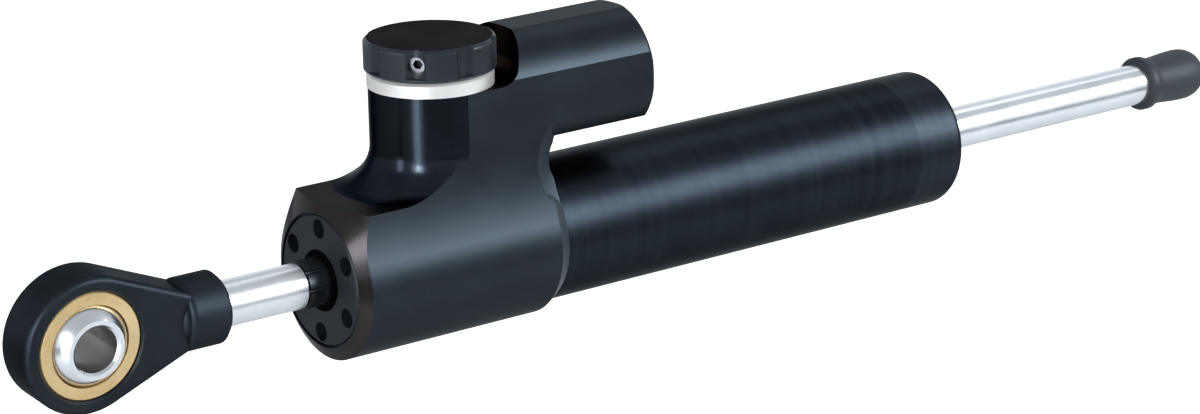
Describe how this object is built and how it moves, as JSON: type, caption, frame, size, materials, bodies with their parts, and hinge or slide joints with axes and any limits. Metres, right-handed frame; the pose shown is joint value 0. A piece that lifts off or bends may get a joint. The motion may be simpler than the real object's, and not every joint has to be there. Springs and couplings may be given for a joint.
{
  "type": "motorcycle steering damper",
  "caption": "Through-rod hydraulic steering damper with a click adjuster on a tower, a side reservoir and a spherical rod end.",
  "frame": {"origin": "on the rod's axis, in the middle of the bare tube that a frame clamp holds", "axes": "+X along the rod away from the rod end, +Z along the adjuster"},
  "size_m": [0.2696, 0.0284, 0.0531],
  "materials": {
    "black_anodised": "black anodised, satin",
    "gland_black": "black anodised, matt",
    "tube_black": "black anodised over fine turning marks",
    "knob_anodised": "dark blue-grey anodised, satin",
    "ring_aluminium": "bright turned",
    "bare_aluminium": "satin",
    "rod_end_grey": "dark blue-grey, matt",
    "ground_rod": "ground and chromed",
    "steel": "fine ground",
    "spring_steel": "drawn wire",
    "black_steel": "black oxide",
    "brass": "turned",
    "bronze": "sintered",
    "nitrile": "moulded",
    "bumper_rubber": "moulded, matt",
    "piston_ptfe": "machined"
  },
  "bodies": {
    "body": {"body_housing": "black_anodised", "front_gland": "gland_black", "front_gland_oring": "nitrile", "front_seal_washer": "steel", "front_rod_seal": "nitrile", "front_rod_bush": "bronze", "front_wiper": "nitrile", "damper_tube": "tube_black", "cylinder_liner": "steel", "end_cap": "tube_black", "end_cap_oring": "nitrile", "rear_seal_washer": "steel", "rear_rod_seal": "nitrile", "rear_rod_bush": "bronze", "rear_wiper": "nitrile", "valve_seat": "brass", "valve_cartridge": "bare_aluminium", "cartridge_oring": "nitrile", "click_ring": "ring_aluminium", "reservoir_spring": "spring_steel", "reservoir_plug": "black_anodised", "reservoir_plug_oring": "nitrile", "reservoir_snap_ring": "steel"},
    "piston_seals": {"piston_band": "piston_ptfe", "piston_oring": "nitrile"},
    "rod": {"piston_rod": "ground_rod", "piston": "bare_aluminium", "piston_snap_rings": "steel", "rod_coupler": "black_steel", "spacer_sleeve": "bare_aluminium", "rod_end_housing": "rod_end_grey", "rod_end_race": "brass", "rod_bumper": "bumper_rubber"},
    "ball": {"rod_end_ball": "steel"},
    "knob": {"adjuster_knob": "knob_anodised", "knob_set_screw": "steel", "adjuster_spindle": "steel", "spindle_oring": "nitrile", "click_spring": "spring_steel"},
    "needle": {"metering_needle": "steel"},
    "click_ball": {"click_ball": "steel"},
    "reservoir_float": {"reservoir_piston": "bare_aluminium", "reservoir_piston_oring": "nitrile"}
  },
  "joints": [
    {"name": "rod_slide", "type": "slide", "parent": "body", "child": "piston_seals", "axis": [1, 0, 0], "range_m": [-0.0577, 0.002]},
    {"name": "rod_spin", "type": "hinge", "parent": "piston_seals", "child": "rod", "pos_m": [0, 0, 0], "axis": [1, 0, 0], "continuous": true},
    {"name": "ball_tilt", "type": "hinge", "parent": "rod", "child": "ball", "pos_m": [-0.1319, 0, 0], "axis": [0, -0.0941, 0.9956], "range_deg": [-13, 13]},
    {"name": "knob_turn", "type": "hinge", "parent": "body", "child": "knob", "pos_m": [-0.06065, 0, 0], "axis": [0, 0, 1], "range_deg": [-360, 360]},
    {"name": "needle_travel", "type": "slide", "parent": "knob", "child": "needle", "axis": [0, 0, 1], "range_m": [-0.00101, 0.00101]},
    {"name": "click_drop", "type": "slide", "parent": "knob", "child": "click_ball", "axis": [0, 0, 1], "range_m": [-0.0002, 0], "stiffness_N_per_m": 500, "springref_m": -0.002, "deforming": ["click_spring"]},
    {"name": "float_travel", "type": "slide", "parent": "body", "child": "reservoir_float", "axis": [1, 0, 0], "range_m": [-0.001, 0.005], "stiffness_N_per_m": 2000, "deforming": ["reservoir_spring"]}
  ],
  "couplings": [
    {"joint": "needle_travel", "follows": "knob_turn", "m_per_rad": 0.00015915}
  ]
}
